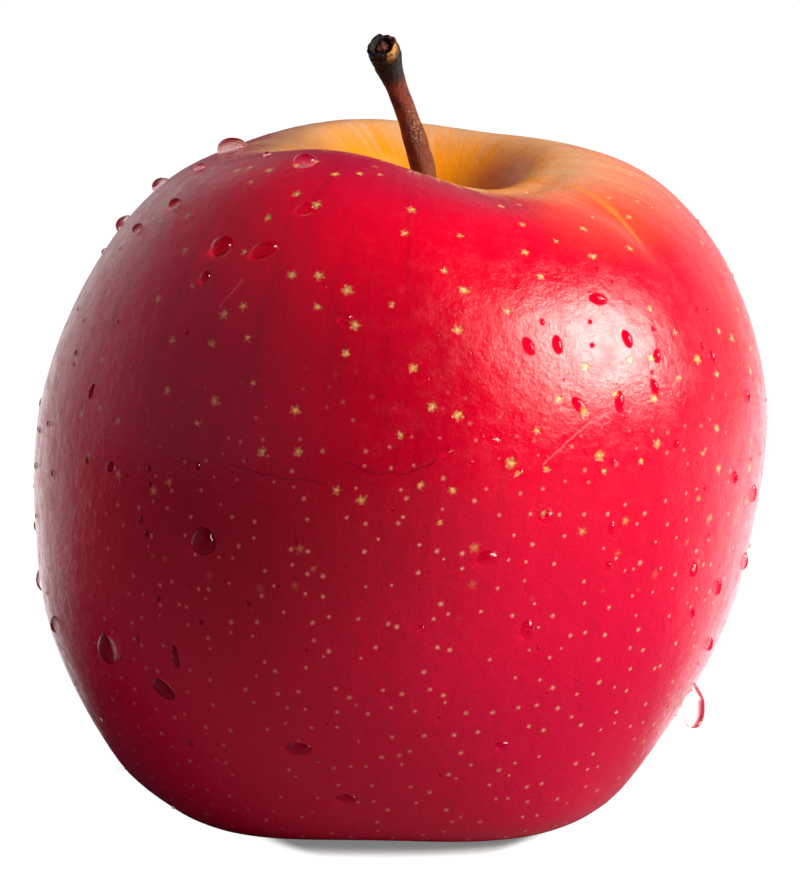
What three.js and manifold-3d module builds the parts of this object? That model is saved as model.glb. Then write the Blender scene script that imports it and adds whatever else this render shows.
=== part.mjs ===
// A red dessert apple standing on the lobes of its base, with its woody stem and the five dried
// sepals round the eye underneath. Millimetres, +Z up, front towards -Y, +X to the right.
import * as THREE from 'three';
import { mergeVertices } from 'three/addons/utils/BufferGeometryUtils.js';
import Module from 'manifold-3d';

// ---- Driving dimensions ----

// The fruit's half outline as [distance from the axis, height]: out of the eye, along the base,
// round the girth and over the shoulder, and down to the floor of the stem cavity.
const OUTLINE = [
  [0, 11], [1.6, 10.2], [2.4, 8], [4.4, 6.2], [8, 4.3], [14, 2.4], [20, 1.1], [23.1, 1.4], [28.8, 3.5],
  [36.4, 17.7], [39.4, 30.6], [39.8, 45.4], [35.1, 59.4], [27, 69.3], [16.9, 72.6], [10.5, 70.5],
  [6.6, 65.3], [4.2, 60], [2.4, 56.3], [0, 54.5],
];
const OUTLINE_STEPS = 50;
const ROUND_STEPS = 60;

const LOBES = 5;
const SHOULDER_HEIGHT = 74;
const FLAT_SPOT_DEPTH = 0.3;

// The base: its lobes hang lower than the valleys between them, and they reach BASE_REACH up the side.
const BASE_LOBE_HEIGHT = 0.6;
const BASE_LOBE_AZIMUTH = 14;
const BASE_REACH = 14;
const BASE_RING = 20;
// How far the base departs from round, as [waves round the fruit, share of the radius, azimuth].
const BASE_WAVES = [[1, 0.024, 180], [2, 0.031, 124], [5, 0.02, BASE_LOBE_AZIMUTH]];

// Ribs run up the whole side and fade towards the shoulder.
const RIB_SHARE = 0.014;
const RIB_AZIMUTH = -34;
const RIB_FADE = 0.6;
const AXIS_SWAY = 1.8;

// The crown: high on one side and wavy, as [waves round the fruit, height, azimuth].
const CROWN_START = 45;
const CROWN_RING = 15;
const CROWN_WAVES = [[1, 2.1, 138], [2, 1.05, 58], [3, 0.9, 4]];
// The stem cavity's funnel stands off to one side of the fruit's axis.
const CAVITY_OFFSET = 1.6;
const CAVITY_RING = 12;
// A shallow crease runs out of the cavity and over one shoulder.
const CREASE = { azimuth: -36, depth: 0.7, halfWidth: 2, start: 17, end: 36 };

const CLEARANCE = 0.3;
const FLOOR_SLAB = 120;
const WELD_DISTANCE = 1e-4;

// The stem's centreline, from its foot in the flesh to its tip, which nods forwards.
const STEM_LINE = [
  [2.7, 0, 51.5], [3, 0, 57], [3.05, 0, 63], [2.55, 0, 69.8], [1.05, 0, 75.5], [-0.8, 0.1, 80.6],
  [-1.6, -0.2, 82.9], [-2, -1.6, 84.3],
];
// The stem's [radius, share of its length]: foot, slim shaft, swollen tip and the scar's shallow cup.
const STEM_OUTLINE = [
  [0, 0], [1.6, 0], [1.6, 0.08], [1.8, 0.14], [1.55, 0.24], [1.45, 0.5], [1.3, 0.66], [1.2, 0.82], [1.35, 0.88],
  [1.75, 0.93], [1.8, 0.975], [1.5, 1], [1.05, 0.998], [0.7, 0.975], [0, 0.97],
];
const STEM_SIDES = 16;
const SOCKET_TOP = 0.16;

const SEPAL = {
  length: 6.2, width: 2.6, thickness: 0.5, rootRadius: 3.4, rootHeight: 6.6, rootShare: 0.8, bulge: 1.2,
  curl: 1.1, hang: 0.6, cup: 0.12, steps: 8,
};

// ---- Shared helpers ----

const wasm = await Module();
wasm.setup();

// Joins a closed geometry's shared corners and drops the empty triangles at its poles.
function welded(geometry) {
  const bare = geometry.clone();
  bare.deleteAttribute('normal');
  bare.deleteAttribute('uv');
  const merged = mergeVertices(bare, WELD_DISTANCE);
  const corners = merged.index.array;
  const kept = [];
  for (let i = 0; i < corners.length; i += 3) {
    const [a, b, c] = [corners[i], corners[i + 1], corners[i + 2]];
    if (a !== b && b !== c && c !== a) kept.push(a, b, c);
  }
  merged.setIndex(kept);
  return merged;
}

function solidOf(geometry) {
  const closed = welded(geometry);
  return new wasm.Manifold(new wasm.Mesh({
    numProp: 3,
    vertProperties: closed.attributes.position.array,
    triVerts: Uint32Array.from(closed.index.array),
  }));
}

function geometryOf(solid) {
  const mesh = solid.getMesh();
  const geometry = new THREE.BufferGeometry();
  geometry.setAttribute('position', new THREE.BufferAttribute(mesh.vertProperties, 3));
  geometry.setIndex(new THREE.BufferAttribute(mesh.triVerts, 1));
  geometry.computeVertexNormals();
  return geometry;
}

// Moves every vertex of a geometry to where place(vertex) puts it.
function reshape(geometry, place) {
  const position = geometry.attributes.position;
  const vertex = new THREE.Vector3();
  for (let i = 0; i < position.count; i += 1) {
    vertex.fromBufferAttribute(position, i);
    const moved = place(vertex);
    position.setXYZ(i, moved.x, moved.y, moved.z);
  }
  return geometry;
}

function turned(outline, sides) {
  const profile = outline.map(([radius, height]) => new THREE.Vector2(radius, height));
  return new THREE.LatheGeometry(profile, sides).rotateX(Math.PI / 2);
}

function named(name, geometry, finish) {
  const mesh = new THREE.Mesh(geometry, new THREE.MeshStandardMaterial({ metalness: 0, ...finish }));
  mesh.name = name;
  return mesh;
}

// ---- Fruit ----

// The height of a wave that runs round the fruit, at an azimuth in radians; its crest is at crest degrees.
function wave(waves, height, crest, azimuth) {
  return height * Math.cos(waves * (azimuth - THREE.MathUtils.degToRad(crest)));
}

function sumOfWaves(list, azimuth) {
  return list.reduce((sum, [waves, height, crest]) => sum + wave(waves, height, crest, azimuth), 0);
}

// Where a point of the plain turned shape comes to lie on the grown, uneven fruit.
function grown(point) {
  const radius = Math.hypot(point.x, point.y);
  const azimuth = Math.atan2(point.y, point.x);
  const height = point.z;

  const base = Math.exp(-((height / BASE_REACH) ** 2)) * Math.min(radius / BASE_RING, 1) ** 2;
  const crown = THREE.MathUtils.clamp((height - CROWN_START) / (SHOULDER_HEIGHT - CROWN_START), 0, 1);
  const rim = crown ** 2 * Math.min(radius / CROWN_RING, 1) ** 2;
  const valley = (1 - wave(LOBES, 1, BASE_LOBE_AZIMUTH, azimuth)) / 2;
  const z = height + base * BASE_LOBE_HEIGHT * valley + rim * sumOfWaves(CROWN_WAVES, azimuth);

  const rib = wave(LOBES, RIB_SHARE, RIB_AZIMUTH, azimuth) * (1 - (RIB_FADE * height) / SHOULDER_HEIGHT);
  const reach = radius * (1 + rib + base * sumOfWaves(BASE_WAVES, azimuth));
  const sway = AXIS_SWAY * Math.sin(Math.PI * THREE.MathUtils.clamp(z / SHOULDER_HEIGHT - 0.5, -0.5, 0.5));
  const cavity = height > CROWN_START ? CAVITY_OFFSET * Math.exp(-((radius / CAVITY_RING) ** 2)) : 0;
  return new THREE.Vector3(
    reach * Math.cos(azimuth) + sway + cavity,
    reach * Math.sin(azimuth),
    z - creaseDepth(radius, azimuth) * Math.sqrt(crown),
  );
}

function creaseDepth(radius, azimuth) {
  const turn = azimuth - THREE.MathUtils.degToRad(CREASE.azimuth);
  if (Math.cos(turn) < 0) return 0;
  const along = THREE.MathUtils.clamp((radius - CREASE.start) / (CREASE.end - CREASE.start), 0, 1);
  const across = (radius * Math.sin(turn)) / CREASE.halfWidth;
  return CREASE.depth * Math.sin(Math.PI * along) * Math.exp(-(across ** 2));
}

function fruitSolid() {
  const outline = new THREE.SplineCurve(OUTLINE.map(([radius, height]) => new THREE.Vector2(radius, height)));
  const points = outline.getPoints(OUTLINE_STEPS).map((point) => [Math.max(point.x, 0), point.y]);
  return solidOf(reshape(turned(points, ROUND_STEPS), grown));
}

// The lobes of the base are pressed flat where the fruit stands.
function standing(fruit) {
  const lowest = fruit.boundingBox().min[2];
  const slab = new THREE.BoxGeometry(FLOOR_SLAB, FLOOR_SLAB, FLOOR_SLAB);
  slab.translate(0, 0, lowest + FLAT_SPOT_DEPTH - FLOOR_SLAB / 2);
  return fruit.subtract(solidOf(slab));
}

// ---- Stem ----

const BACKWARDS = new THREE.Vector3(0, 1, 0);
const stemCurve = new THREE.CatmullRomCurve3(STEM_LINE.map(([x, y, z]) => new THREE.Vector3(x, y, z)));

// Bends a straight turned piece, standing on the origin, along the stem's centreline.
function alongStem(point) {
  const share = THREE.MathUtils.clamp(point.z / stemCurve.getLength(), 0, 1);
  const centre = stemCurve.getPointAt(share);
  const ahead = stemCurve.getTangentAt(share);
  const side = BACKWARDS.clone().cross(ahead).normalize();
  const back = ahead.clone().cross(side);
  const beyond = point.z - share * stemCurve.getLength();
  return centre
    .addScaledVector(side, point.x)
    .addScaledVector(back, point.y)
    .addScaledVector(ahead, beyond);
}

function stemGeometry() {
  const length = stemCurve.getLength();
  const outline = STEM_OUTLINE.map(([radius, share]) => [radius, share * length]);
  return reshape(turned(refined(outline, length / 20), STEM_SIDES), alongStem);
}

// The hole in the flesh that the stem's foot stands in.
function socketSolid() {
  const length = stemCurve.getLength();
  const top = SOCKET_TOP * length;
  const radius = Math.max(...STEM_OUTLINE.slice(0, 4).map(([r]) => r)) + CLEARANCE;
  const outline = [[0, -CLEARANCE], [radius, -CLEARANCE], [radius, top], [0, top]];
  return solidOf(reshape(turned(outline, STEM_SIDES), alongStem));
}

// Splits the long straight steps of an outline, so that the piece can follow a bend.
function refined(outline, longest) {
  const points = [outline[0]];
  for (let i = 1; i < outline.length; i += 1) {
    const [from, to] = [outline[i - 1], outline[i]];
    const steps = Math.max(1, Math.ceil((to[1] - from[1]) / longest));
    for (let k = 1; k <= steps; k += 1) {
      points.push([from[0] + ((to[0] - from[0]) * k) / steps, from[1] + ((to[1] - from[1]) * k) / steps]);
    }
  }
  return points;
}

// ---- Sepals ----

// One pointed leaf standing down from the rim of the eye, its middle leaning in and its tip curled out.
function sepalGeometry(turn) {
  const eye = grown(new THREE.Vector3(0, 0, SEPAL.rootHeight));
  const leaf = new THREE.Shape();
  const half = SEPAL.width / 2;
  leaf.moveTo(-half * SEPAL.rootShare, 0);
  leaf.quadraticCurveTo(-half * SEPAL.bulge, SEPAL.length / 2, 0, SEPAL.length);
  leaf.quadraticCurveTo(half * SEPAL.bulge, SEPAL.length / 2, half * SEPAL.rootShare, 0);
  leaf.closePath();
  const flat = new THREE.ExtrudeGeometry(leaf, {
    depth: SEPAL.thickness,
    bevelEnabled: false,
    curveSegments: SEPAL.steps,
  });
  const radial = new THREE.Vector3(Math.cos(turn), Math.sin(turn), 0);
  const across = new THREE.Vector3(-Math.sin(turn), Math.cos(turn), 0);
  return reshape(flat, (point) => {
    const lean = SEPAL.curl * Math.sin((1.5 * Math.PI * point.y) / SEPAL.length);
    return new THREE.Vector3(eye.x, eye.y, 0)
      .addScaledVector(radial, SEPAL.rootRadius - lean - point.z - SEPAL.cup * point.x ** 2)
      .addScaledVector(across, point.x)
      .setZ(SEPAL.rootHeight - SEPAL.hang * point.y);
  });
}

// ---- The apple ----

const apple = new THREE.Group();
const fruit = standing(fruitSolid()).subtract(socketSolid());
apple.add(named('fruit', geometryOf(fruit), { color: 0xb5122c, roughness: 0.3 }));
apple.add(named('stem', stemGeometry(), { color: 0x7a3a22, roughness: 0.8 }));
for (let i = 0; i < LOBES; i += 1) {
  const turn = THREE.MathUtils.degToRad(BASE_LOBE_AZIMUTH) + (2 * Math.PI * i) / LOBES;
  apple.add(named(`sepal_${i + 1}`, sepalGeometry(turn), { color: 0x5b4a2c, roughness: 0.9 }));
}

// The apple stands on the origin, at the middle of its own box.
const { min, max } = fruit.boundingBox();
apple.position.set(-(min[0] + max[0]) / 2, -(min[1] + max[1]) / 2, -min[2]);

export default apple;
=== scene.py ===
"""A red dessert apple after rain.

It has waxy skin with pale lenticels, a yellow stem cavity, a woody stem, a dried calyx in the basin
underneath, and water drops standing on the skin. Shapes are worked in millimetres and made metres last."""

import math
import random

import bmesh
import bpy
from mathutils import Matrix, Vector, geometry, noise
from mathutils.bvhtree import BVHTree


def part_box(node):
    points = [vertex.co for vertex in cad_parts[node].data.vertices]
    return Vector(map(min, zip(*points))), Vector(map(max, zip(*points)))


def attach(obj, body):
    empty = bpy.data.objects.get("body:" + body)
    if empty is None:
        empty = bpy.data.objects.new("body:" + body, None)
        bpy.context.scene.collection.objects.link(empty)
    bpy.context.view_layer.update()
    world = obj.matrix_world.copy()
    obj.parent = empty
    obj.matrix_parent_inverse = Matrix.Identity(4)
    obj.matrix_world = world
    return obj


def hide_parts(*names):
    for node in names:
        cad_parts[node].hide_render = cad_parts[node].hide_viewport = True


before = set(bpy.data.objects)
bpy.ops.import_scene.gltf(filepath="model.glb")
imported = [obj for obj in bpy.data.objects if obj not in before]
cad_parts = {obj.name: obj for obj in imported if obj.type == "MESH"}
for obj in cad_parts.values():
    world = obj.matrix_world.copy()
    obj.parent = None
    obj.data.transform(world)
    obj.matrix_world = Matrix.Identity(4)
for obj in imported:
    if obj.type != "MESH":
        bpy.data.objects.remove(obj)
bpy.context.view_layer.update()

MM = 0.001
BODY = "root"

# ---- Camera and light ----

CAMERA_DISTANCE = 450
CAMERA_ELEVATION = 10
CAMERA_TARGET = Vector((0.05, 0, 38.65))
CAMERA_LENS = 164.4
SENSOR = 36
LENS_WHITE = 1.1

# The lamps and the floor are placed in metres.
LAMP_TARGET = Vector((0, 0, 0.038))
LAMP_WARMTH = (1, 0.94, 0.86)
FLOOR_SIZE = 6

# What the room sends back on the near side: little, and warm.
WARM_FILL = (0.13, 0.012, 0.03, 1)
WARM_FILL_LEFT = (0.38, 0.2, 0.36, 1)

# ---- The fruit's shape ----

# Half outline as (distance from the axis, height): out of the eye, along the base, round the girth, over the
# shoulder, and down to the floor of the stem cavity.
OUTLINE = [
    (0, 11), (1.6, 10.2), (2.4, 8), (4.4, 6.2), (8, 4.3), (14, 2.4), (20, 1.1), (23.1, 1.4), (28.8, 3.5),
    (36.4, 17.7), (39.4, 30.6), (39.8, 45.4), (35.1, 59.4), (27, 69.3), (16.9, 72.6), (10.5, 70.5),
    (6.6, 65.3), (4.2, 60), (2.4, 56.3), (0, 54.5),
]
SPAN_STEPS = 9
ROUND_STEPS = 300
LOBES = 5
SHOULDER_HEIGHT = 74
FLAT_SPOT_DEPTH = 0.3
BASE_LOBE_HEIGHT = 0.6
BASE_LOBE_AZIMUTH = 14
BASE_REACH = 14
BASE_RING = 20
BASE_WAVES = [(1, 0.024, 180), (2, 0.031, 124), (5, 0.02, BASE_LOBE_AZIMUTH)]
RIB_SHARE = 0.014
RIB_AZIMUTH = -34
RIB_FADE = 0.6
AXIS_SWAY = 1.8
CROWN_START = 45
CROWN_RING = 15
CROWN_WAVES = [(1, 2.1, 138), (2, 1.05, 58), (3, 0.9, 4)]
CAVITY_OFFSET = 1.6
CAVITY_RING = 12
CREASE_AZIMUTH = -36
CREASE_DEPTH = 0.7
CREASE_HALF_WIDTH = 2
CREASE_START, CREASE_END = 17, 36
DIMPLE_DEPTH = 0.07
DIMPLE_SIZE = 6

# ---- Stem and calyx ----

STEM_LINE = [
    (2.7, 0, 51.5), (3, 0, 57), (3.05, 0, 63), (2.55, 0, 69.8), (1.05, 0, 75.5), (-0.8, 0.1, 80.6),
    (-1.6, -0.2, 82.9), (-2, -1.6, 84.3),
]
# The stem's (radius, share of its length): foot, slim shaft, swollen tip and the scar's shallow cup.
STEM_OUTLINE = [
    (0, 0), (1.55, 0.005), (1.65, 0.08), (1.75, 0.14), (1.55, 0.24), (1.42, 0.5), (1.28, 0.66), (1.2, 0.8),
    (1.3, 0.87), (1.62, 0.925), (1.7, 0.965), (1.55, 0.992), (1.3, 1), (1.05, 0.991), (0.85, 0.982),
    (0.6, 0.988), (0, 0.996),
]
STEM_LINE_STEPS = 24
STEM_SPAN_STEPS = 7
STEM_SIDES = 56
TIP_START = 0.88
TIP_SPAN = 0.06
TIP_TEARING = 0.22
BARK_SWELL = 0.09

SEPAL_LENGTH = 6.2
SEPAL_WIDTH = 2.6
SEPAL_THICKNESS = 0.22
SEPAL_ROOT_RADIUS = 3.2
SEPAL_ROOT_HEIGHT = 6.6
SEPAL_CURL = 1.1
SEPAL_HANG = 0.6
SEPAL_CUP = 0.12
SEPAL_CRINKLE = 0.16
SEPAL_TIP_HALF_WIDTH = 0.05
STAMENS = 16
STAMEN_LENGTH = 4.2
STAMEN_RADIUS = 0.13
STAMEN_ROOT_HEIGHT = 9.6
# A stamen's (radius, share of its length): a thin thread and a swollen head.
STAMEN_OUTLINE = [(0, 0), (1, 0.02), (0.8, 0.4), (0.7, 0.8), (1.7, 0.86), (1.9, 0.92), (1.2, 0.98), (0, 1)]

# ---- Water ----

# Each drop's azimuth, height, width across, length down the slope, and turn of its long side.
DROPS = [
    (161, 71, 3.6, 3.2, 0), (-120, 72, 2.5, 2.3, 0), (-167, 70, 1.3, 1.3, 0), (174, 67.3, 2.1, 2, 0),
    (-152, 67, 1.5, 1.5, 0), (174, 63, 2, 2.1, 0), (-161, 64, 1.3, 1.3, 0), (-143, 72, 0.9, 0.9, 0),
    (-111, 68, 2, 1.4, 20), (-117, 64, 3.1, 1.9, 28), (-127, 64, 2.4, 2.4, 0), (-128, 61, 1.3, 1.3, 0),
    (-99, 58, 1.5, 1.2, 0), (-69, 55, 1.2, 2, 18), (-64, 55, 1.1, 2, 0), (-51, 55, 1.1, 1.9, 8),
    (-46, 53, 1, 1.5, -20), (-62, 49, 1.2, 2, 40), (-55, 49, 1.1, 2.2, -8), (-48, 50, 1, 1.7, 10),
    (-54, 59, 2.1, 1.3, -12), (-76, 46, 1.6, 0.9, -20), (-83, 45, 1.1, 1.1, 0), (-45, 44, 1.2, 0.9, 10),
    (-57, 43, 0.9, 0.9, 0), (-68, 38, 1.8, 1.5, 0), (-57, 36, 0.9, 1.3, 0), (-57, 32, 0.9, 1, 0),
    (-77, 34, 2.2, 1.5, 10), (-70, 26, 1.5, 2, 0), (-120, 35, 2.7, 2.7, 0), (-39, 30, 1.3, 1.6, 0),
    (-30, 27, 1.1, 1.8, 0), (-26, 20, 1.1, 1.5, 0), (-37, 25, 0.8, 1, 0), (-72, 13, 1.5, 0.9, 0),
    (-149, 48, 0.8, 1.6, 0), (-140, 41, 1.1, 1.1, 0), (175, 43, 1.5, 1.9, 0), (177, 29.5, 1.5, 1.7, 0),
    (178, 23.5, 2.1, 2.7, 0), (-164, 21, 1.4, 1.8, 0), (-131, 18, 2.9, 1.6, -35), (-127, 22, 0.9, 2.4, 6),
    (-144, 21, 2.2, 3.1, 12), (-107, 13, 2.6, 1.4, 0), (-100, 7, 2, 1.1, 0), (-24, 47, 0.9, 1.4, 0),
    (-30, 39, 0.9, 1.3, 0), (-20, 36, 1, 1.8, 0), (-16, 28, 1.2, 1.9, 0), (-33, 52, 0.8, 1.3, 0),
    (20, 62, 2, 2.1, 0), (48, 55, 1.6, 1.8, 0), (70, 66, 2.4, 2.2, 0), (84, 40, 1.5, 2.1, 0),
    (110, 58, 2.2, 2, 0), (131, 47, 1.6, 2, 0), (140, 66, 1.9, 1.8, 0), (155, 30, 1.3, 1.8, 0),
    (60, 25, 1.4, 2, 0), (100, 22, 1.6, 2.2, 0),
]
DROP_HEIGHT = 0.5
DROP_SINK = 0.15
DROP_SAG = 0.16
DROP_SPREAD = 1.08
BEADS = 230
BEAD_SIZES = (0.28, 0.75)
BEAD_HEIGHTS = (1, 68)

# One drip hangs at the lower right, drawn out by its own weight.
DRIP_AZIMUTH = -22
DRIP_HEIGHT = 14
DRIP_OUTLINE = [
    (0, 4.1), (0.5, 3.6), (0.85, 2.4), (1.05, 0.9), (1.2, -0.6), (1.25, -2), (1.1, -3.1), (0.65, -3.9),
    (0, -4.1),
]
DRIP_SPAN_STEPS = 6
DRIP_SIDES = 32
DRIP_STAND_OFF = 0.4
DRIP_PULL = 1.8

# ---- Looks ----

BLACK, WHITE = "#000000", "#ffffff"
RED_TOP = "#d40024"
RED_LOW = "#bc0038"
RED_DEEP = "#720016"
RED_BLUSH = "#b81438"
# Purple at the rim's crest: partly the wax's own bloom, partly painted shade and a painted reflection of the
# light above.
RIM_PURPLE_SHADE = "#8a1236"
# Salmon on the right shoulder: partly the skin's paler colour, partly painted sheen on the side the lamps
# face.
SHOULDER_SALMON_SHEEN = "#e8623c"
CAVITY_DEEP = "#d08200"
CAVITY_RIM = "#c29a70"
BASIN = "#a8894a"
RUSSET = "#6e4522"
LENTICEL_HIGH = "#b07c48"
LENTICEL_CORE = "#e6bc6c"
LENTICEL_LOW = "#c07464"
LENTICEL_LOW_CORE = "#f0bc92"
SCUFF_PINK = "#e8808c"
CREASE_GOLD = "#d98a30"
BARK_SHADES = ("#4a1606", "#7c3010")
BARK_FIBRE = "#2a0f09"
BARK_GOLD = "#8e4e08"
BARK_LICHEN = "#a47c60"
BARK_TIP_BLACK = "#100605"
SCAR_OCHRE = "#c98f3c"
SCAR_PITH = "#713a22"
SEPAL_SHADES = ("#4d3a1f", "#8a6f45")
STAMEN_SHADES = ("#2c1c10", "#5c4325")
WATER_SHADES = ("#ffffff", "#fdf6f4")
WATER_SHADOW = "#fff4f4"
PAPER_SHADES = ("#f4f4f5", "#fbfbfb")
PAPER_UNSEEN = "#9c6878"
WALL_WARM = "#fff1de"

WAX_IOR = 1.45
WATER_IOR = 1.333
SKIN_RELIEF = 0.08
BARK_RELIEF = 0.25
SEPAL_RELIEF = 0.2
STAMEN_RELIEF = 0.1
WATER_RELIEF = 0.03
PAPER_RELIEF = 0.1

# Where the red begins, as a distance outwards from the rim's crest: its usual place, how much further out it
# lies to the right and how much further in at the front, and how far its streaks stray.
RED_EDGE, RED_EDGE_ACROSS, RED_EDGE_FRONT = 5, 2, 6.5
RED_EDGE_STRAY = 10

# The side painted darker as shade, turned away from the lamps, as the cosine and sine of its azimuth.
SHADE_X, SHADE_Y = -0.34, -0.94

# The lenticels: large stars high on the fruit and small specks low down.
STARS = {"Spacing": 4.5, "Radius": 0.44, "Raggedness": 1, "Arms": 0.14, "Share kept": 0.62}
SPECKS = {"Spacing": 2.6, "Radius": 0.25, "Raggedness": 0.22, "Arms": 0.1, "Share kept": 0.8}
STAR_POINTS = 5

# Faint lines on the skin, as runs of (azimuth, height): light scuffs, and fine healed cracks.
SCUFFS = [[(-122, 61), (-124.6, 58.3)], [(-59, 48), (-65, 45.9), (-69.5, 43.3)]]
CRACKS = [[(-116.5, 43.1), (-110, 42.1), (-101.5, 41.7)], [(-99, 44), (-95, 43), (-90.3, 42.9), (-86, 44)]]
SCUFF_HALF_WIDTH = 0.17
CRACK_HALF_WIDTH = 0.26
GIRTH_RADIUS = 40

# The golden line down the crease, in the frame's millimetres.
CREASE_LINE = [(18.6, -7.8, 68.4), (22.6, -13.2, 66.2), (25.6, -18, 63)]


def clamp(value, low, high):
    return max(low, min(high, value))


def shade(code):
    """A colour written as #rrggbb, as the four linear numbers that a socket takes."""
    parts = [int(code[i:i + 2], 16) / 255 for i in (1, 3, 5)]
    return (*[p / 12.92 if p <= 0.04045 else ((p + 0.055) / 1.055) ** 2.4 for p in parts], 1)


def through(points, steps):
    """A smooth line through points, with that many steps between each two."""
    line = [Vector(p).to_3d() for p in points]
    ends = [line[0], *line, line[-1]]
    smooth = []
    for before, start, end, after in zip(ends, ends[1:], ends[2:], ends[3:]):
        piece = geometry.interpolate_bezier(
            start, start + (end - before) / 6, end - (after - start) / 6, end, steps + 1
        )
        smooth += piece[:-1]
    return [*smooth, line[-1]]


def rounded(outline, steps, stretch=1):
    """The smooth profile through (distance from the axis, height) points, its heights stretched."""
    return [(max(p.x, 0), p.y * stretch) for p in through(outline, steps)]


def lengths_along(points):
    """How far along a line each of its points lies."""
    walked = [0]
    for start, end in zip(points, points[1:]):
        walked.append(walked[-1] + math.dist(start, end))
    return walked


# ---- Mesh helpers ----

def spun(profile, steps, layer=None, values=()):
    """A closed shape turned from a profile of (distance from the axis, height) points.

    A layer's name and a value for each point of the profile are carried round with it."""
    bm = bmesh.new()
    carried = bm.verts.layers.float.new(layer) if layer else None
    corners = [bm.verts.new((x, 0, z)) for x, z in profile]
    for corner, value in zip(corners, values):
        corner[carried] = value
    edges = [bm.edges.new(pair) for pair in zip(corners, corners[1:])]
    bmesh.ops.spin(
        bm, geom=[*corners, *edges], axis=(0, 0, 1), cent=(0, 0, 0), steps=steps, angle=math.tau,
        use_merge=True,
    )
    bmesh.ops.remove_doubles(bm, verts=bm.verts, dist=1e-4)
    bmesh.ops.recalc_face_normals(bm, faces=bm.faces)
    return bm


def corners_of(bm):
    low = Vector([min(v.co[i] for v in bm.verts) for i in range(3)])
    high = Vector([max(v.co[i] for v in bm.verts) for i in range(3)])
    return low, high


def add_to(whole, part):
    """Moves the part's faces into the whole."""
    mesh = bpy.data.meshes.new("part")
    part.to_mesh(mesh)
    part.free()
    whole.from_mesh(mesh)
    bpy.data.meshes.remove(mesh)


def linked(name, data):
    """A new object in the scene."""
    thing = bpy.data.objects.new(name, data)
    bpy.context.scene.collection.objects.link(thing)
    return thing


def made_of(name, bm, material):
    """The bmesh as an object of that material."""
    mesh = bpy.data.meshes.new(name)
    bm.to_mesh(mesh)
    bm.free()
    mesh.materials.append(material)
    return linked(name, mesh)


def finished(name, bm, material, replaces=()):
    """The bmesh, worked in millimetres, as a piece of the apple in metres."""
    bmesh.ops.scale(bm, vec=(MM, MM, MM), verts=bm.verts)
    piece = made_of(name, bm, material)
    piece.data.polygons.foreach_set("use_smooth", [True] * len(piece.data.polygons))
    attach(piece, BODY)
    if replaces:
        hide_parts(*replaces)
    return piece


# ---- Node helpers ----

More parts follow.
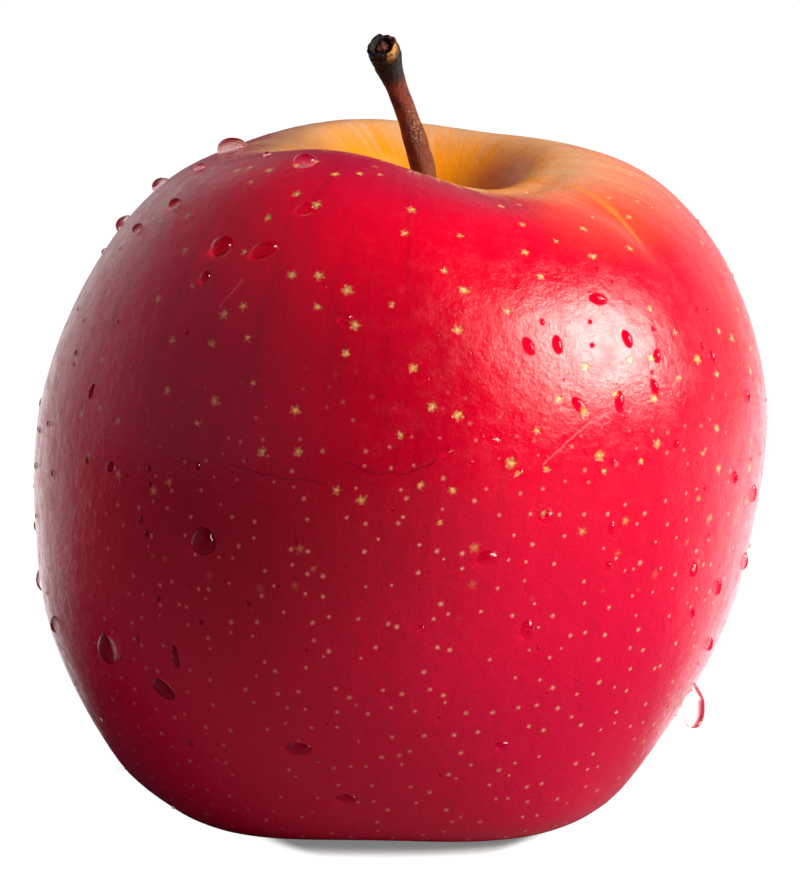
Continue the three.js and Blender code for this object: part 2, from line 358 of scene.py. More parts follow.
class Wiring:
    """A node tree being wired. Each method adds nodes and gives back an output, unless it says otherwise."""

    def __init__(self, tree):
        self.tree = tree

    def node(self, kind, inputs=(), **settings):
        """The node itself, its inputs linked to sockets or set to values."""
        added = self.tree.nodes.new(kind)
        for name, value in settings.items():
            setattr(added, name, value)
        for name, value in dict(inputs).items():
            if isinstance(value, bpy.types.NodeSocket):
                self.tree.links.new(value, added.inputs[name])
            else:
                added.inputs[name].default_value = value
        return added

    def group(self, tree, inputs):
        """All the outputs of a node group."""
        return self.node("ShaderNodeGroup", inputs, node_tree=tree).outputs

    def calc(self, operation, first, second=0.0):
        return self.node("ShaderNodeMath", {0: first, 1: second}, operation=operation).outputs[0]

    def times(self, first, *others):
        for other in others:
            first = self.calc("MULTIPLY", first, other)
        return first

    def plus(self, first, *others):
        for other in others:
            first = self.calc("ADD", first, other)
        return first

    def minus(self, first, second):
        return self.calc("SUBTRACT", first, second)

    def vector(self, operation, first, second=(0, 0, 0), output=0):
        return self.node("ShaderNodeVectorMath", {0: first, 1: second}, operation=operation).outputs[output]

    def length(self, vector):
        return self.vector("LENGTH", vector, output=1)

    def combined(self, x, y, z=0):
        return self.node("ShaderNodeCombineXYZ", {0: x, 1: y, 2: z}).outputs[0]

    def parts(self, vector):
        """The vector's three parts, as outputs named X, Y and Z."""
        return self.node("ShaderNodeSeparateXYZ", {0: vector}).outputs

    def stretch(self, value, low, high, to_low=0.0, to_high=1.0):
        """The value eased from the span low..high onto the span to_low..to_high."""
        inputs = {"Value": value, "From Min": low, "From Max": high, "To Min": to_low, "To Max": to_high}
        return self.node("ShaderNodeMapRange", inputs, interpolation_type="SMOOTHSTEP").outputs[0]

    def blend(self, factor, first, second):
        return self.node("ShaderNodeMix", {0: factor, 6: first, 7: second}, data_type="RGBA").outputs[2]

    def tinted(self, color, mask, amount, code):
        """The colour drawn towards another, written as #rrggbb, by the mask times the amount."""
        return self.blend(self.times(mask, amount), color, shade(code))

    def noise(self, place, scale, detail=3.0, roughness=0.5, distortion=0.0):
        inputs = {"Vector": place, "Scale": scale, "Detail": detail, "Roughness": roughness}
        inputs["Distortion"] = distortion
        return self.node("ShaderNodeTexNoise", inputs).outputs["Fac"]

    def attribute(self, name):
        return self.node("ShaderNodeAttribute", attribute_name=name).outputs["Fac"]

    def millimetres(self):
        """The place on the object, in millimetres."""
        place = self.node("ShaderNodeTexCoord").outputs["Object"]
        return self.vector("MULTIPLY", place, (1000, 1000, 1000))

    def line(self, place, start, end, half_width):
        """1 along the straight line from start to end, and 0 beside it."""
        inputs = {"Place": place, "Start": start, "End": end, "Half width": half_width}
        return self.group(LINE, inputs)["Mask"]

    def marks(self, unrolled, runs, half_width):
        """1 along each run of (azimuth, height) points, on the fruit's side unrolled flat."""
        mark = 0.0
        for run in runs:
            points = [(math.radians(turn) * GIRTH_RADIUS, height, 0) for turn, height in run]
            for start, end in zip(points, points[1:]):
                mark = self.calc("MAXIMUM", mark, self.line(unrolled, start, end, half_width))
        return mark

    def bump(self, height, relief, strength=1):
        """The normal of a surface whose height swings by the relief, in millimetres."""
        inputs = {"Height": height, "Strength": strength, "Distance": relief * MM}
        return self.node("ShaderNodeBump", inputs).outputs[0]

    def ray(self):
        """What kind of ray arrives, as the outputs of a Light Path."""
        return self.node("ShaderNodeLightPath").outputs

    def seen_by_lens(self):
        """1 where the camera looks straight at a thing, or at it through clear water, and otherwise 0."""
        ray = self.ray()
        through_water = self.minus(ray["Is Transmission Ray"], ray["Diffuse Depth"])
        return self.calc("MAXIMUM", ray["Is Camera Ray"], through_water)

    def principled(self, inputs):
        return self.node("ShaderNodeBsdfPrincipled", inputs).outputs[0]

    def either(self, factor, first, second):
        """The first shader where the factor is 0, and the second where it is 1."""
        return self.node("ShaderNodeMixShader", {0: factor, 1: first, 2: second}).outputs[0]


def new_group(name, inputs, outputs):
    """An empty node group with those (name, socket kind) inputs and outputs, its wiring and its two ends."""
    tree = bpy.data.node_groups.new(name, "ShaderNodeTree")
    for way, sockets in (("INPUT", inputs), ("OUTPUT", outputs)):
        for label, kind in sockets:
            tree.interface.new_socket(label, in_out=way, socket_type="NodeSocket" + kind)
    wiring = Wiring(tree)
    return tree, wiring, wiring.node("NodeGroupInput").outputs


def finish_group(wiring, results):
    wiring.node("NodeGroupOutput", results)


def new_material(name):
    material = bpy.data.materials.new(name)
    material.use_nodes = True
    material.node_tree.nodes.clear()
    return material, Wiring(material.node_tree)


def finish_material(wiring, shader):
    wiring.node("ShaderNodeOutputMaterial", {"Surface": shader})


# ---- Node groups ----

def mottle_group():
    """Two colours clouded into each other, with a finer grain over them."""
    tree, w, given = new_group(
        "Mottle",
        [("Place", "Vector"), ("Size", "Float"), ("First", "Color"), ("Second", "Color")],
        [("Color", "Color"), ("Cloud", "Float"), ("Grain", "Float")],
    )
    size = given["Size"]
    place = w.vector("DIVIDE", given["Place"], w.combined(size, size, size))
    cloud = w.stretch(w.noise(place, 1, 4, 0.6, 0.4), 0.3, 0.7)
    grain = w.noise(place, 7, 3, 0.6)
    color = w.blend(cloud, given["First"], given["Second"])
    finish_group(w, {"Color": color, "Cloud": cloud, "Grain": grain})
    return tree


def dots_group():
    """Ragged little stars scattered over the unrolled skin: Mask is 1 on a star and Core is 1 at its middle.

    Narrowing is the skin's true girth at that height over its unrolled one. Where it is small, fewer stars
    stay."""
    tree, w, given = new_group(
        "Pale dots",
        [
            ("Place", "Vector"), ("Unrolled", "Vector"), ("Narrowing", "Float"), ("Spacing", "Float"),
            ("Radius", "Float"), ("Raggedness", "Float"), ("Arms", "Float"), ("Share kept", "Float"),
        ],
        [("Mask", "Float"), ("Core", "Float")],
    )
    scale = w.calc("DIVIDE", 1, given["Spacing"])
    cells = w.node(
        "ShaderNodeTexVoronoi", {"Vector": given["Unrolled"], "Scale": scale, "Randomness": 0.85},
        voronoi_dimensions="2D",
    ).outputs
    from_middle = w.vector("SUBTRACT", given["Unrolled"], cells["Position"])
    from_middle = w.vector("MULTIPLY", from_middle, w.combined(given["Narrowing"], 1))
    sides = w.parts(from_middle)
    lots = w.node("ShaderNodeSeparateColor", {0: cells["Color"]}).outputs
    turn = w.plus(w.times(w.calc("ARCTAN2", sides["Y"], sides["X"]), STAR_POINTS), w.times(lots[0], 6))
    arms = w.plus(w.times(w.calc("COSINE", turn), given["Arms"]), 1)
    wobble = w.times(w.minus(w.noise(given["Place"], 3.2, 2, 0.6), 0.5), given["Raggedness"])
    distance = w.plus(w.times(w.length(from_middle), arms), wobble)
    radius = w.times(given["Radius"], w.plus(w.times(lots[1], 0.6), 0.7))
    inner = w.times(radius, 0.6)
    kept = w.calc("LESS_THAN", lots[2], w.times(given["Narrowing"], given["Share kept"]))
    mask = w.times(w.stretch(distance, w.times(radius, 1.12), inner), kept)
    finish_group(w, {"Mask": mask, "Core": w.stretch(distance, inner, 0)})
    return tree


def line_group():
    """A faint line on the surface, from one point to another: Mask is 1 along it."""
    tree, w, given = new_group(
        "Surface line",
        [("Place", "Vector"), ("Start", "Vector"), ("End", "Vector"), ("Half width", "Float")],
        [("Mask", "Float")],
    )
    from_start = w.vector("SUBTRACT", given["Place"], given["Start"])
    whole = w.vector("SUBTRACT", given["End"], given["Start"])
    share = w.calc(
        "DIVIDE", w.vector("DOT_PRODUCT", from_start, whole, 1), w.vector("DOT_PRODUCT", whole, whole, 1)
    )
    along = w.node("ShaderNodeClamp", {"Value": share}).outputs[0]
    nearest = w.node("ShaderNodeVectorMath", {0: whole, "Scale": along}, operation="SCALE").outputs[0]
    apart = w.length(w.vector("SUBTRACT", from_start, nearest))
    finish_group(w, {"Mask": w.stretch(apart, given["Half width"], 0)})
    return tree


MOTTLE = mottle_group()
DOTS = dots_group()
LINE = line_group()


# ---- The skin's look ----

class SkinPlace:
    """Where a point lies on the skin, and the streaks there, as sockets for all parts of the skin's look."""

    def __init__(self, w):
        self.place = w.millimetres()
        self.height = w.parts(self.place)["Z"]
        self.round_x, self.round_y = w.attribute("round_x"), w.attribute("round_y")
        self.from_rim = w.attribute("from_rim")
        across = w.times(self.round_x, 36)
        inwards = w.times(self.round_y, 36)
        self.meridian = w.combined(across, inwards, w.times(self.from_rim, 0.09))
        self.fine_streaks = w.noise(self.meridian, 1.1, 4, 0.65)
        self.broad_streaks = w.noise(self.meridian, 0.32, 3, 0.6)


def red_color(w, at):
    """The crimson: warmer above, streaked, clouded, painted darker as shade on the side away from the lamps,
    purple near the rim's crest except on the right, partly the wax's bloom and partly painted shade and
    reflection, and salmon on the right shoulder, partly painted sheen."""
    red = w.blend(w.stretch(at.height, 10, 62), shade(RED_LOW), shade(RED_TOP))
    fading = w.stretch(at.height, 12, 60, 0.25, 1)
    red = w.tinted(red, w.times(w.stretch(at.fine_streaks, 0.5, 0.72), fading), 0.22, RED_DEEP)
    red = w.tinted(red, w.times(w.stretch(at.broad_streaks, 0.5, 0.75), fading), 0.3, RED_DEEP)
    red = w.tinted(red, w.stretch(w.noise(at.place, 0.07, 4, 0.6, 0.6), 0.5, 0.8), 0.15, RED_BLUSH)
    red = w.tinted(red, w.stretch(w.noise(at.place, 4.5, 3, 0.7), 0.5, 0.8), 0.3, RED_BLUSH)
    # Painted shade: the red is darkened on the side turned away from the lamps.
    facing_shade = w.plus(w.times(at.round_x, SHADE_X), w.times(at.round_y, SHADE_Y))
    shade_band = w.times(w.stretch(at.height, 12, 38), w.stretch(at.height, 74, 52))
    red = w.tinted(red, w.times(w.stretch(facing_shade, 0.77, 1), shade_band), 0.6, RED_DEEP)
    # Painted shade and reflection near the rim's crest, over the wax's own purple bloom, except on the right.
    near_rim_shade = w.times(w.stretch(at.from_rim, 17, 2), w.stretch(at.round_x, 0.8, 0.4))
    red = w.tinted(red, near_rim_shade, 0.75, RIM_PURPLE_SHADE)
    # Painted sheen on the right shoulder, over the skin's paler colour there.
    right_shoulder_sheen = w.times(w.stretch(at.round_x, 0.4, 0.85), w.stretch(at.from_rim, 20, 7))
    return w.tinted(red, right_shoulder_sheen, 0.6, SHOULDER_SALMON_SHEEN)


def ground_color(w, at):
    """The ground under the red: yellow in the cavity, tan and russet at its rim, dull gold in the basin."""
    rays = w.times(w.minus(at.broad_streaks, 0.5), 10)
    up_to_rim = w.stretch(w.plus(at.from_rim, rays), -7, 2)
    ground = w.blend(up_to_rim, shade(CAVITY_DEEP), shade(CAVITY_RIM))
    ground = w.tinted(ground, w.stretch(w.noise(at.meridian, 2.1, 5, 0.7, 0.8), 0.55, 0.75), 0.4, RUSSET)
    return w.blend(w.stretch(at.from_rim, 96, 116), ground, shade(BASIN))


def red_share(w, at):
    """1 where the skin is red and 0 where its ground shows, in the cavity and in the basin."""
    stray = w.times(w.minus(w.plus(at.fine_streaks, at.broad_streaks), 1), RED_EDGE_STRAY)
    to_front = w.calc("MINIMUM", at.round_y, 0)
    edge = w.plus(w.times(at.round_x, RED_EDGE_ACROSS), w.times(to_front, RED_EDGE_FRONT), RED_EDGE, stray)
    # The red's edge is softer on the right, which partly stands for painted sheen there.
    softness_and_sheen = w.stretch(at.round_x, 0.3, 1, 3, 9)
    past_edge = w.calc("DIVIDE", w.minus(at.from_rim, edge), softness_and_sheen)
    return w.times(w.stretch(past_edge, -1, 1), w.stretch(w.plus(at.from_rim, stray), 112, 98))


def with_crease_gold(w, at, color):
    start, bend, end = CREASE_LINE
    upper = w.line(at.place, start, bend, 0.85)
    lower = w.times(w.line(at.place, bend, end, 0.6), w.stretch(at.height, 62.5, 65.5))
    return w.tinted(color, w.calc("MAXIMUM", upper, lower), 0.75, CREASE_GOLD)


def with_lenticels(w, at, color, redness):
    """The colour with its lenticels, and the mask of the large ones."""
    turn = w.calc("ARCTAN2", at.round_x, w.times(at.round_y, -1))
    girth = w.length(w.vector("MULTIPLY", at.place, (1, 1, 0)))
    spread = {
        "Place": at.place, "Unrolled": w.combined(w.times(turn, GIRTH_RADIUS), at.from_rim),
        "Narrowing": w.calc("DIVIDE", girth, GIRTH_RADIUS),
    }
    stars, specks = w.group(DOTS, {**spread, **STARS}), w.group(DOTS, {**spread, **SPECKS})
    on_skin = w.times(redness, w.stretch(at.from_rim, 1, 6))
    large = w.times(stars["Mask"], w.stretch(at.height, 26, 44), on_skin)
    small = w.times(specks["Mask"], w.stretch(at.height, 56, 32), on_skin)
    star = w.blend(stars["Core"], shade(LENTICEL_HIGH), shade(LENTICEL_CORE))
    color = w.blend(w.times(large, 0.95), color, star)
    speck = w.blend(specks["Core"], shade(LENTICEL_LOW), shade(LENTICEL_LOW_CORE))
    return w.blend(w.times(small, 0.92), color, speck), large


def with_blemishes(w, at, color):
    """The colour with its scuffs and healed cracks, and the mask of the cracks."""
    azimuth = w.times(w.calc("ARCTAN2", at.round_y, at.round_x), GIRTH_RADIUS)
    waver = w.minus(w.times(w.noise(at.place, 0.6, 3), 1.2), 0.6)
    unrolled = w.combined(azimuth, w.plus(at.height, waver))
    crack = w.marks(unrolled, CRACKS, CRACK_HALF_WIDTH)
    color = w.tinted(color, w.marks(unrolled, SCUFFS, SCUFF_HALF_WIDTH), 0.4, SCUFF_PINK)
    return w.tinted(color, crack, 0.55, RED_DEEP), crack


def skin_material():
    """Crimson streaked along the meridians over a yellow ground, with pale lenticels and a waxy gloss."""
    material, w = new_material("apple skin")
    at = SkinPlace(w)
    redness = red_share(w, at)
    color = w.blend(redness, ground_color(w, at), red_color(w, at))
    color = with_crease_gold(w, at, color)
    color, large = with_lenticels(w, at, color, redness)
    color, crack = with_blemishes(w, at, color)

    peel, pores = w.noise(at.place, 0.9, 4, 0.65), w.noise(at.place, 3.4, 3, 0.6)
    swells = w.noise(at.place, 0.28, 3, 0.6)
    relief = w.plus(w.times(peel, 0.65), w.times(pores, 0.42), w.times(swells, 1.5))
    relief = w.minus(relief, w.times(w.plus(crack, large), 0.25))
    dull = w.times(w.stretch(w.noise(at.place, 0.5, 5, 0.75), 0.35, 0.7), 0.19)
    dry = w.times(w.minus(1, redness), 0.16)
    dry_skin = w.principled({
        "Base Color": color, "Roughness": w.plus(0.15, dull, dry), "Normal": w.bump(relief, SKIN_RELIEF),
        "IOR": WAX_IOR,
    })
    # Under water the wax mirrors little unless seen at a glance, so a drop shows the skin's full colour;
    # under the drop that colour is painted about a third darker, as shade.
    shaded_under_drop = w.blend(0.35, color, shade(BLACK))
    wet_skin = w.node("ShaderNodeBsdfDiffuse", {"Color": shaded_under_drop}).outputs[0]
    glancing = w.stretch(w.node("ShaderNodeLayerWeight", {"Blend": 0.5}).outputs["Facing"], 0.5, 0.85)
    wet_skin = w.either(glancing, wet_skin, dry_skin)
    finish_material(w, w.either(w.ray()["Is Transmission Ray"], dry_skin, wet_skin))
    return material


# ---- The other materials ----

def stem_material():
    """Reddish brown bark, golden low down, flecked with lichen on one side, and black at the scar."""
    material, w = new_material("stem bark")
    place = w.millimetres()
    parts = w.parts(place)
    along, scar = w.attribute("along"), w.attribute("scar")
    dark, light = (shade(code) for code in BARK_SHADES)
    bark = w.group(MOTTLE, {"Place": place, "Size": 1.4, "First": dark, "Second": light})["Color"]
    fibre = w.noise(w.vector("MULTIPLY", place, (1, 1, 0.16)), 4.2, 4, 0.65)
    bark = w.tinted(bark, w.stretch(fibre, 0.5, 0.7), 0.7, BARK_FIBRE)
    golden = w.times(w.stretch(parts["Z"], 73, 64), w.stretch(w.minus(parts["X"], 2.2), -1.2, 1.6))
    bark = w.tinted(bark, golden, 0.85, BARK_GOLD)
    from_patch = w.vector("SUBTRACT", place, (1.9, -1.2, 74.8))
    from_patch = w.length(w.vector("DIVIDE", from_patch, (1.3, 1.8, 3.6)))
    flecks = w.times(w.stretch(w.noise(place, 3.6, 4, 0.75), 0.47, 0.6), w.stretch(from_patch, 1.1, 0.5))
    bark = w.tinted(bark, flecks, 0.8, BARK_LICHEN)
    # Black towards the tip, just below the scar.
    tip_black = w.stretch(w.plus(along, w.times(w.noise(place, 1.2, 2), 0.05)), 0.86, 0.9)
    bark = w.tinted(bark, tip_black, 1, BARK_TIP_BLACK)
    ring = w.times(
        w.stretch(scar, 0.95, 1.25), w.stretch(scar, 1.75, 1.5),
        w.stretch(w.noise(place, 0.9, 3, 0.6), 0.42, 0.56),
        w.stretch(along, 0.95, 0.97), w.stretch(parts["X"], -1.9, -1.1),
    )
    bark = w.tinted(bark, ring, 1, SCAR_OCHRE)
    pith = w.times(w.stretch(scar, 0.75, 0.35), w.stretch(along, 0.9, 0.95))
    bark = w.tinted(bark, pith, 0.9, SCAR_PITH)
    grain = {"Place": place, "Size": 0.9, "First": shade(BLACK), "Second": shade(WHITE)}
    grain = w.group(MOTTLE, grain)["Grain"]
    relief = w.plus(w.times(fibre, 0.6), w.times(grain, 0.4), w.times(flecks, 0.3))
    finish_material(w, w.principled({
        "Base Color": bark, "Roughness": w.stretch(fibre, 0.3, 0.7, 0.5, 0.8),
        "Normal": w.bump(relief, BARK_RELIEF), "Specular IOR Level": 0.35,
    }))
    return material


def dry_material(name, shades, size, relief):
    """Dry, downy plant matter, clouded between two shades."""
    material, w = new_material(name)
    first, second = (shade(code) for code in shades)
    made = w.group(MOTTLE, {"Place": w.millimetres(), "Size": size, "First": first, "Second": second})
    finish_material(w, w.principled({
        "Base Color": made["Color"], "Roughness": w.stretch(made["Cloud"], 0, 1, 0.75, 0.95),
        "Normal": w.bump(made["Grain"], relief),
    }))
    return material


def water_material():
    """Clear water that lets the lamps' light straight through to the skin."""
    material, w = new_material("water")
    ripple = w.noise(w.millimetres(), 0.8, 1, 0.4)
    first, second = (shade(code) for code in WATER_SHADES)
    drop = w.principled({
        "Base Color": w.blend(ripple, first, second), "Roughness": 0.0,
        "Normal": w.bump(ripple, WATER_RELIEF), "IOR": WATER_IOR, "Transmission Weight": 1.0,
    })
    clear = w.node("ShaderNodeBsdfTransparent", {"Color": shade(WATER_SHADOW)}).outputs[0]
    finish_material(w, w.either(w.ray()["Is Shadow Ray"], drop, clear))
    return material


def painted_shadow_openness(w, place):
    """How open the paper is, for the contact shadow painted into its glow: less where the fruit nearly
    touches it, except beside the foot and behind it.
    """
    openness = w.node("ShaderNodeAmbientOcclusion", {"Distance": 4 * MM}, samples=8).outputs["AO"]
    from_foot = w.vector("MULTIPLY", w.vector("ADD", place, (0, 8, 0)), (1.35, 1, 0))
    beside = w.times(w.stretch(w.length(from_foot), 20, 27), w.stretch(w.parts(place)["Y"], 14, 2))
    return w.calc("MAXIMUM", openness, beside)


def paper_glow(w, place):
    """How the paper behind the fruit shines for the skin to mirror: on both sides, little in the middle."""
    behind = w.parts(w.vector("NORMALIZE", w.vector("MULTIPLY", place, (1, 1, 0))))
    turned = w.stretch(w.plus(behind["Y"], w.times(behind["X"], 0.25)), -0.05, 0.8)
    sideways = w.stretch(w.calc("ABSOLUTE", behind["X"]), 0.02, 0.4, 0.05, 1)
    away = w.length(place)
    full_glow = w.stretch(behind["X"], -0.5, 0.5, 65, 44)
    return w.times(turned, sideways, w.stretch(away, 20, full_glow), w.stretch(away, 900, 80, 0.95, 1.5))


def floor_material():
    """Pale paper that glows for the lens, so it reads as white, and stays dim to everything else."""
    material, w = new_material("pale paper")
    place = w.millimetres()
    first, second = (shade(code) for code in PAPER_SHADES)
    paper = w.blend(w.noise(place, 0.01, 3), first, second)
    roughness = w.stretch(w.noise(place, 0.02, 2), 0, 1, 0.8, 0.95)
    seen = w.principled({
        "Base Color": w.blend(0.85, paper, shade(BLACK)), "Roughness": roughness,
        "Normal": w.bump(w.noise(place, 0.4, 3), PAPER_RELIEF, 0.2),
        "Specular IOR Level": 0.0, "Emission Color": shade(WHITE),
        # The glow dims where the paper is less open, painting the fruit's contact shadow.
        "Emission Strength": w.stretch(painted_shadow_openness(w, place), 0.1, 0.75, 0.2, 1),
    })
    unseen = w.principled({
        "Base Color": shade(PAPER_UNSEEN), "Roughness": roughness, "Specular IOR Level": 0.0,
        "Emission Color": shade(WHITE), "Emission Strength": paper_glow(w, place),
    })
    finish_material(w, w.either(w.seen_by_lens(), unseen, seen))
    return material


# ---- The fruit ----

def wave(waves, height, crest, azimuth):
    return height * math.cos(waves * (azimuth - math.radians(crest)))


def sum_of_waves(waves, azimuth):
    return sum(wave(*each, azimuth) for each in waves)


def crease_depth(radius, azimuth):
    turn = azimuth - math.radians(CREASE_AZIMUTH)
    if math.cos(turn) < 0:
        return 0
    along = clamp((radius - CREASE_START) / (CREASE_END - CREASE_START), 0, 1)
    across = radius * math.sin(turn) / CREASE_HALF_WIDTH
    return CREASE_DEPTH * math.sin(math.pi * along) * math.exp(-across ** 2)


def grown(point):
    """Where a point of the plain turned shape comes to lie on the grown, uneven fruit."""
    radius = math.hypot(point.x, point.y)
    azimuth = math.atan2(point.y, point.x)
    base = math.exp(-(point.z / BASE_REACH) ** 2) * min(radius / BASE_RING, 1) ** 2
    crown = clamp((point.z - CROWN_START) / (SHOULDER_HEIGHT - CROWN_START), 0, 1)
    rim = crown ** 2 * min(radius / CROWN_RING, 1) ** 2
    valley = (1 - wave(LOBES, 1, BASE_LOBE_AZIMUTH, azimuth)) / 2
    z = point.z + base * BASE_LOBE_HEIGHT * valley + rim * sum_of_waves(CROWN_WAVES, azimuth)
    rib = wave(LOBES, RIB_SHARE, RIB_AZIMUTH, azimuth) * (1 - RIB_FADE * point.z / SHOULDER_HEIGHT)
    reach = radius * (1 + rib + base * sum_of_waves(BASE_WAVES, azimuth))
    sway = AXIS_SWAY * math.sin(math.pi * clamp(z / SHOULDER_HEIGHT - 0.5, -0.5, 0.5))
    cavity = CAVITY_OFFSET * math.exp(-(radius / CAVITY_RING) ** 2) if point.z > CROWN_START else 0
    z -= crease_depth(radius, azimuth) * math.sqrt(crown)
    return Vector((reach * math.cos(azimuth) + sway + cavity, reach * math.sin(azimuth), z))


def skin_mesh():
    """The skin in millimetres, standing in the CAD fruit's place, and the shift that put it there.

    Each vertex keeps its azimuth on the plain shape, as a cosine and a sine, and how far outwards from the
    rim's crest it lies, measured over the skin."""
    profile = rounded(OUTLINE, SPAN_STEPS)
    walked = lengths_along(profile)
    crest = max(range(len(profile)), key=lambda i: profile[i][1])
    bm = spun(profile, ROUND_STEPS, "from_rim", [walked[crest] - distance for distance in walked])
    round_x = bm.verts.layers.float.new("round_x")
    round_y = bm.verts.layers.float.new("round_y")
    for vertex in bm.verts:
        azimuth = math.atan2(vertex.co.y, vertex.co.x)
        vertex[round_x], vertex[round_y] = math.cos(azimuth), math.sin(azimuth)
        dimple = noise.noise(vertex.co / DIMPLE_SIZE) + 0.5 * noise.noise(vertex.co / DIMPLE_SIZE * 2.3)
        outwards = vertex.co.normalized()
        vertex.co = grown(vertex.co) + outwards * DIMPLE_DEPTH * dimple
    low, high = corners_of(bm)
    level = low.z + FLAT_SPOT_DEPTH
    for vertex in bm.verts:
        vertex.co.z = max(vertex.co.z, level)
    cad_low, cad_high = (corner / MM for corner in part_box("fruit"))
    shift = (cad_low + cad_high - low - high) / 2
    shift.z = cad_low.z - level
    bmesh.ops.translate(bm, vec=shift, verts=bm.verts)
    return bm, shift


# ---- The stem ----

def stem_mesh(shift):
    """The stem turned straight, then bent along its line and roughened."""
    line = through(STEM_LINE, STEM_LINE_STEPS)
    lengths = lengths_along(line)
    whole = lengths[-1]

    def at(distance):
        """The line's point and direction at that distance along it."""
        index = next((i for i in range(1, len(lengths)) if lengths[i] >= distance), len(lengths) - 1)
        share = (distance - lengths[index - 1]) / (lengths[index] - lengths[index - 1])
        return line[index - 1].lerp(line[index], share), (line[index] - line[index - 1]).normalized()

    bm = spun(rounded(STEM_OUTLINE, STEM_SPAN_STEPS, whole), STEM_SIDES)
    along = bm.verts.layers.float.new("along")
    scar = bm.verts.layers.float.new("scar")
    for vertex in bm.verts:
        place = vertex.co.copy()
        vertex[along], vertex[scar] = place.z / whole, math.hypot(place.x, place.y)
        distance = clamp(place.z, 0, whole)
        centre, ahead = at(distance)
        side = Vector((0, 1, 0)).cross(ahead).normalized()
        back = ahead.cross(side)
        ridges = noise.noise(Vector((place.x * 1.1, place.y * 1.1, place.z * 0.16 + 9)))
        knots = noise.noise(place * 0.55 + Vector((3, 7, 1)))
        pits = noise.noise(place * 2.1)
        tip = clamp((vertex[along] - TIP_START) / TIP_SPAN, 0, 1)
        swell = 1 + BARK_SWELL * (ridges + knots) + (0.02 + BARK_SWELL * tip) * pits
        beyond = place.z - distance + TIP_TEARING * tip * pits
        vertex.co = centre + side * place.x * swell + back * place.y * swell + ahead * beyond
    bmesh.ops.translate(bm, vec=shift, verts=bm.verts)
    return bm


# ---- The calyx ----

def sepal_mesh(turn, shift, twist):
    """One dried leaf standing down from the rim of the eye, its edges crinkled and its tip curled out."""
    eye = grown(Vector((0, 0, SEPAL_ROOT_HEIGHT)))
    radial = Vector((math.cos(turn), math.sin(turn), 0))
    across = Vector((-math.sin(turn), math.cos(turn), 0))
    bm = bmesh.new()
    bmesh.ops.create_grid(bm, x_segments=8, y_segments=18, size=0.5)
    for vertex in bm.verts:
        share = vertex.co.y + 0.5
        half = SEPAL_WIDTH / 2 * (0.8 + 0.6 * share) * (1 - share ** 2.6) + SEPAL_TIP_HALF_WIDTH
        side = vertex.co.x * 2 * half
        run = share * SEPAL_LENGTH
        crinkle = SEPAL_CRINKLE * noise.noise(Vector((side * 1.3, run * 0.9, turn * 5)))
        lean = SEPAL_CURL * math.sin(1.5 * math.pi * share)
        drop = SEPAL_ROOT_HEIGHT - SEPAL_HANG * run
        out = SEPAL_ROOT_RADIUS - lean - SEPAL_CUP * side ** 2 + crinkle
        side += twist * share ** 2
        vertex.co = Vector((eye.x, eye.y, 0)) + radial * out + across * side + Vector((0, 0, drop))
    bmesh.ops.solidify(bm, geom=bm.faces, thickness=SEPAL_THICKNESS)
    bmesh.ops.recalc_face_normals(bm, faces=bm.faces)
    bmesh.ops.translate(bm, vec=shift, verts=bm.verts)
    return bm


def stamen_mesh(shift, chance):
    """The dried tuft in the eye: thin threads, each with a small swollen head."""
    eye = grown(Vector((0, 0, SEPAL_ROOT_HEIGHT)))
    tuft = bmesh.new()
    for i in range(STAMENS):
        turn = math.tau * i / STAMENS + chance.uniform(-0.15, 0.15)
        foot = chance.uniform(0.3, 1.2)
        spread = chance.uniform(0.1, 0.9)
        length = STAMEN_LENGTH * chance.uniform(0.75, 1.1)
        one = spun([(x * STAMEN_RADIUS, z * length) for x, z in STAMEN_OUTLINE], 8)
        for vertex in one.verts:
            share = vertex.co.z / length
            bend = spread * share ** 2
            vertex.co = Vector((vertex.co.x + foot + bend, vertex.co.y, STAMEN_ROOT_HEIGHT - vertex.co.z))
        bmesh.ops.rotate(one, cent=(0, 0, 0), matrix=Matrix.Rotation(turn, 3, "Z"), verts=one.verts)
        bmesh.ops.recalc_face_normals(one, faces=one.faces)
        bmesh.ops.translate(one, vec=Vector((eye.x, eye.y, 0)) + shift, verts=one.verts)
        add_to(tuft, one)
    return tuft


# ---- The water ----

def skin_at(tree, azimuth, height):
    """The skin's point and outward direction at an azimuth and height."""
    outwards = Vector((math.cos(math.radians(azimuth)), math.sin(math.radians(azimuth)), 0))
    return tree.ray_cast(outwards * 100 + Vector((0, 0, height)), -outwards)[:2]


def set_on_skin(drop, point, normal, turn):
    """Stands a drop, modelled upright on the origin with +Y up the slope, on the skin."""
    up = Vector((0, 0, 1)) - normal * normal.z
    up = (up if up.length > 0.2 else Vector((0, 1, 0)) - normal * normal.y).normalized()
    frame_of_drop = Matrix((up.cross(normal), up, normal)).transposed()
    placed = frame_of_drop @ Matrix.Rotation(math.radians(turn), 3, "Z")
    bmesh.ops.transform(drop, matrix=Matrix.Translation(point) @ placed.to_4x4(), verts=drop.verts)


def drop_mesh(width, length, wobble):
    """A drop standing on the origin: a sagging dome whose underside is sunk in the skin."""
    drop = bmesh.new()
    bmesh.ops.create_icosphere(drop, subdivisions=4, radius=0.5)
    narrow = min(width, length)
    tall = DROP_HEIGHT * narrow / max(1, 0.75 + narrow * 0.12)
    for vertex in drop.verts:
        bulge = 1 + 0.07 * noise.noise(vertex.co * 2.4 + Vector((wobble, 0, 0)))
        x, y, z = vertex.co * bulge
        y -= DROP_SAG * max(z, 0)
        vertex.co = (x * width * DROP_SPREAD, y * length * DROP_SPREAD, z * 2 * tall - tall * DROP_SINK)
    return drop


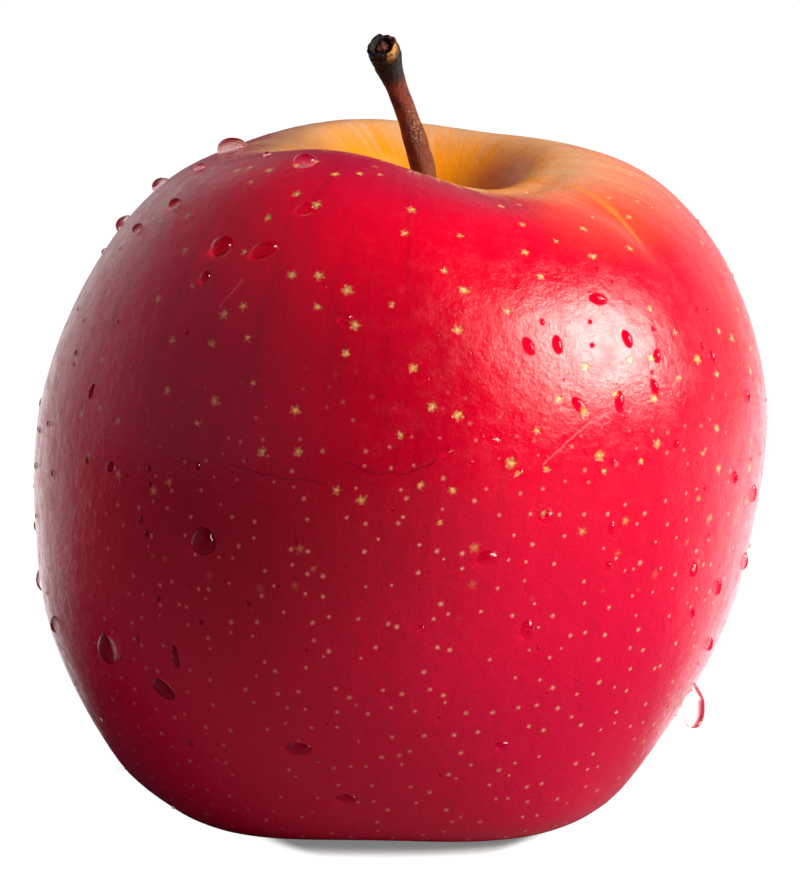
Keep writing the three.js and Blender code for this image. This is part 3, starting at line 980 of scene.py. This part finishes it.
def water_mesh(tree, chance):
    """The placed drops, and small beads scattered by chance."""
    water = bmesh.new()
    for i, (azimuth, height, width, length, turn) in enumerate(DROPS):
        point, normal = skin_at(tree, azimuth, height)
        drop = drop_mesh(width, length, i)
        set_on_skin(drop, point, normal, turn)
        add_to(water, drop)
    lowest, highest = BEAD_HEIGHTS
    smallest, largest = BEAD_SIZES
    for i in range(BEADS):
        azimuth = chance.uniform(-180, 180)
        height = lowest + (highest - lowest) * chance.random() ** 0.8
        point, normal = skin_at(tree, azimuth, height)
        size = smallest + (largest - smallest) * chance.random() ** 2
        bead = bmesh.new()
        bmesh.ops.create_uvsphere(bead, u_segments=8, v_segments=5, radius=size / 2)
        bmesh.ops.scale(bead, vec=(1, chance.uniform(1, 1.4), 0.7), verts=bead.verts)
        set_on_skin(bead, point, normal, 0)
        add_to(water, bead)
    return water


def drip_mesh(tree):
    """The hanging drip, its neck drawn back into the skin."""
    point, normal = skin_at(tree, DRIP_AZIMUTH, DRIP_HEIGHT)
    outwards = Vector((normal.x, normal.y, 0)).normalized()
    drip = spun(rounded(DRIP_OUTLINE, DRIP_SPAN_STEPS), DRIP_SIDES)
    for vertex in drip.verts:
        pull = clamp((vertex.co.z + 0.8) / 3.4, 0, 1)
        vertex.co += outwards * (DRIP_STAND_OFF - DRIP_PULL * pull)
    bmesh.ops.translate(drip, vec=point, verts=drip.verts)
    return drip


# ---- Making the pieces ----

chance = random.Random(17)

skin, shift = skin_mesh()
tree = BVHTree.FromBMesh(skin)
water = water_mesh(tree, chance)
add_to(water, drip_mesh(tree))
finished("apple_skin", skin, skin_material(), ["fruit"])
finished("stem_wood", stem_mesh(shift), stem_material(), ["stem"])
dry_leaf = dry_material("dried sepal", SEPAL_SHADES, 0.9, SEPAL_RELIEF)
for i in range(LOBES):
    turn = math.radians(BASE_LOBE_AZIMUTH) + math.tau * i / LOBES
    leaf = sepal_mesh(turn, shift, chance.uniform(-0.5, 0.5))
    finished(f"sepal_leaf_{i + 1}", leaf, dry_leaf, [f"sepal_{i + 1}"])
dry_thread = dry_material("dried stamen", STAMEN_SHADES, 0.5, STAMEN_RELIEF)
finished("stamens", stamen_mesh(shift, chance), dry_thread)
finished("water_drops", water, water_material())


# ---- Stage ----

def panel_light(name, azimuth, elevation, distance, width, height, radiance):
    """A soft rectangular light, facing the fruit's middle, that looks equally bright whatever its size."""
    light = bpy.data.lights.new(name, "AREA")
    light.shape = "RECTANGLE"
    light.size, light.size_y = width, height
    light.energy = radiance * math.pi * width * height
    light.color = LAMP_WARMTH
    lamp = linked(name, light)
    turn, rise = math.radians(azimuth), math.radians(elevation)
    towards = Vector((math.cos(rise) * math.cos(turn), math.cos(rise) * math.sin(turn), math.sin(rise)))
    lamp.location = LAMP_TARGET + towards * distance
    lamp.rotation_euler = towards.to_track_quat("Z", "Y").to_euler()


ground = bmesh.new()
bmesh.ops.create_grid(ground, x_segments=1, y_segments=1, size=FLOOR_SIZE / 2)
floor = made_of("floor", ground, floor_material())

panel_light("softbox", -23.5, 32.5, 0.7, 0.5, 0.42, 11)
panel_light("softbox heart", -20.5, 31.5, 0.68, 0.33, 0.26, 15)

world = bpy.data.worlds.new("studio")
world.use_nodes = True
world.node_tree.nodes.clear()
w = Wiring(world.node_tree)
towards = w.parts(w.node("ShaderNodeTexCoord").outputs["Generated"])
to_right = w.calc("MAXIMUM", towards["X"], 0)
turned = w.plus(w.times(towards["X"], 0.25), w.times(to_right, 0.15))
behind = w.stretch(w.plus(towards["Y"], turned), -0.05, 0.8)
sideways = w.stretch(w.calc("ABSOLUTE", towards["X"]), 0.02, 0.4, 0.05, 0.95)
low_down = w.stretch(towards["Z"], 0.8, 0.1)
glow = w.times(behind, sideways, low_down, w.stretch(towards["X"], 0.3, 0.9, 1, 0.6))
from_lens = w.seen_by_lens()
white = w.calc("MAXIMUM", glow, w.times(from_lens, LENS_WHITE))
fill = w.blend(w.stretch(towards["X"], 0, -0.9), WARM_FILL, WARM_FILL_LEFT)
warmth = w.times(w.stretch(to_right, 0, 0.8), w.minus(1, from_lens))
wall = w.blend(warmth, shade(WHITE), shade(WALL_WARM))
light = w.blend(w.calc("MINIMUM", white, 1), fill, wall)
sky = w.node("ShaderNodeBackground", {"Color": light, "Strength": w.calc("MAXIMUM", white, 1)}).outputs[0]
w.node("ShaderNodeOutputWorld", {"Surface": sky})
bpy.context.scene.world = world
bpy.context.scene.view_settings.view_transform = "Standard"

lens = bpy.data.cameras.new("camera")
lens.lens = CAMERA_LENS
lens.sensor_width = SENSOR
camera = linked("camera", lens)
rise = math.radians(CAMERA_ELEVATION)
away = Vector((0, -math.cos(rise), math.sin(rise)))
camera.location = (CAMERA_TARGET + away * CAMERA_DISTANCE) * MM
camera.rotation_euler = away.to_track_quat("Z", "Y").to_euler()
bpy.context.scene.camera = camera
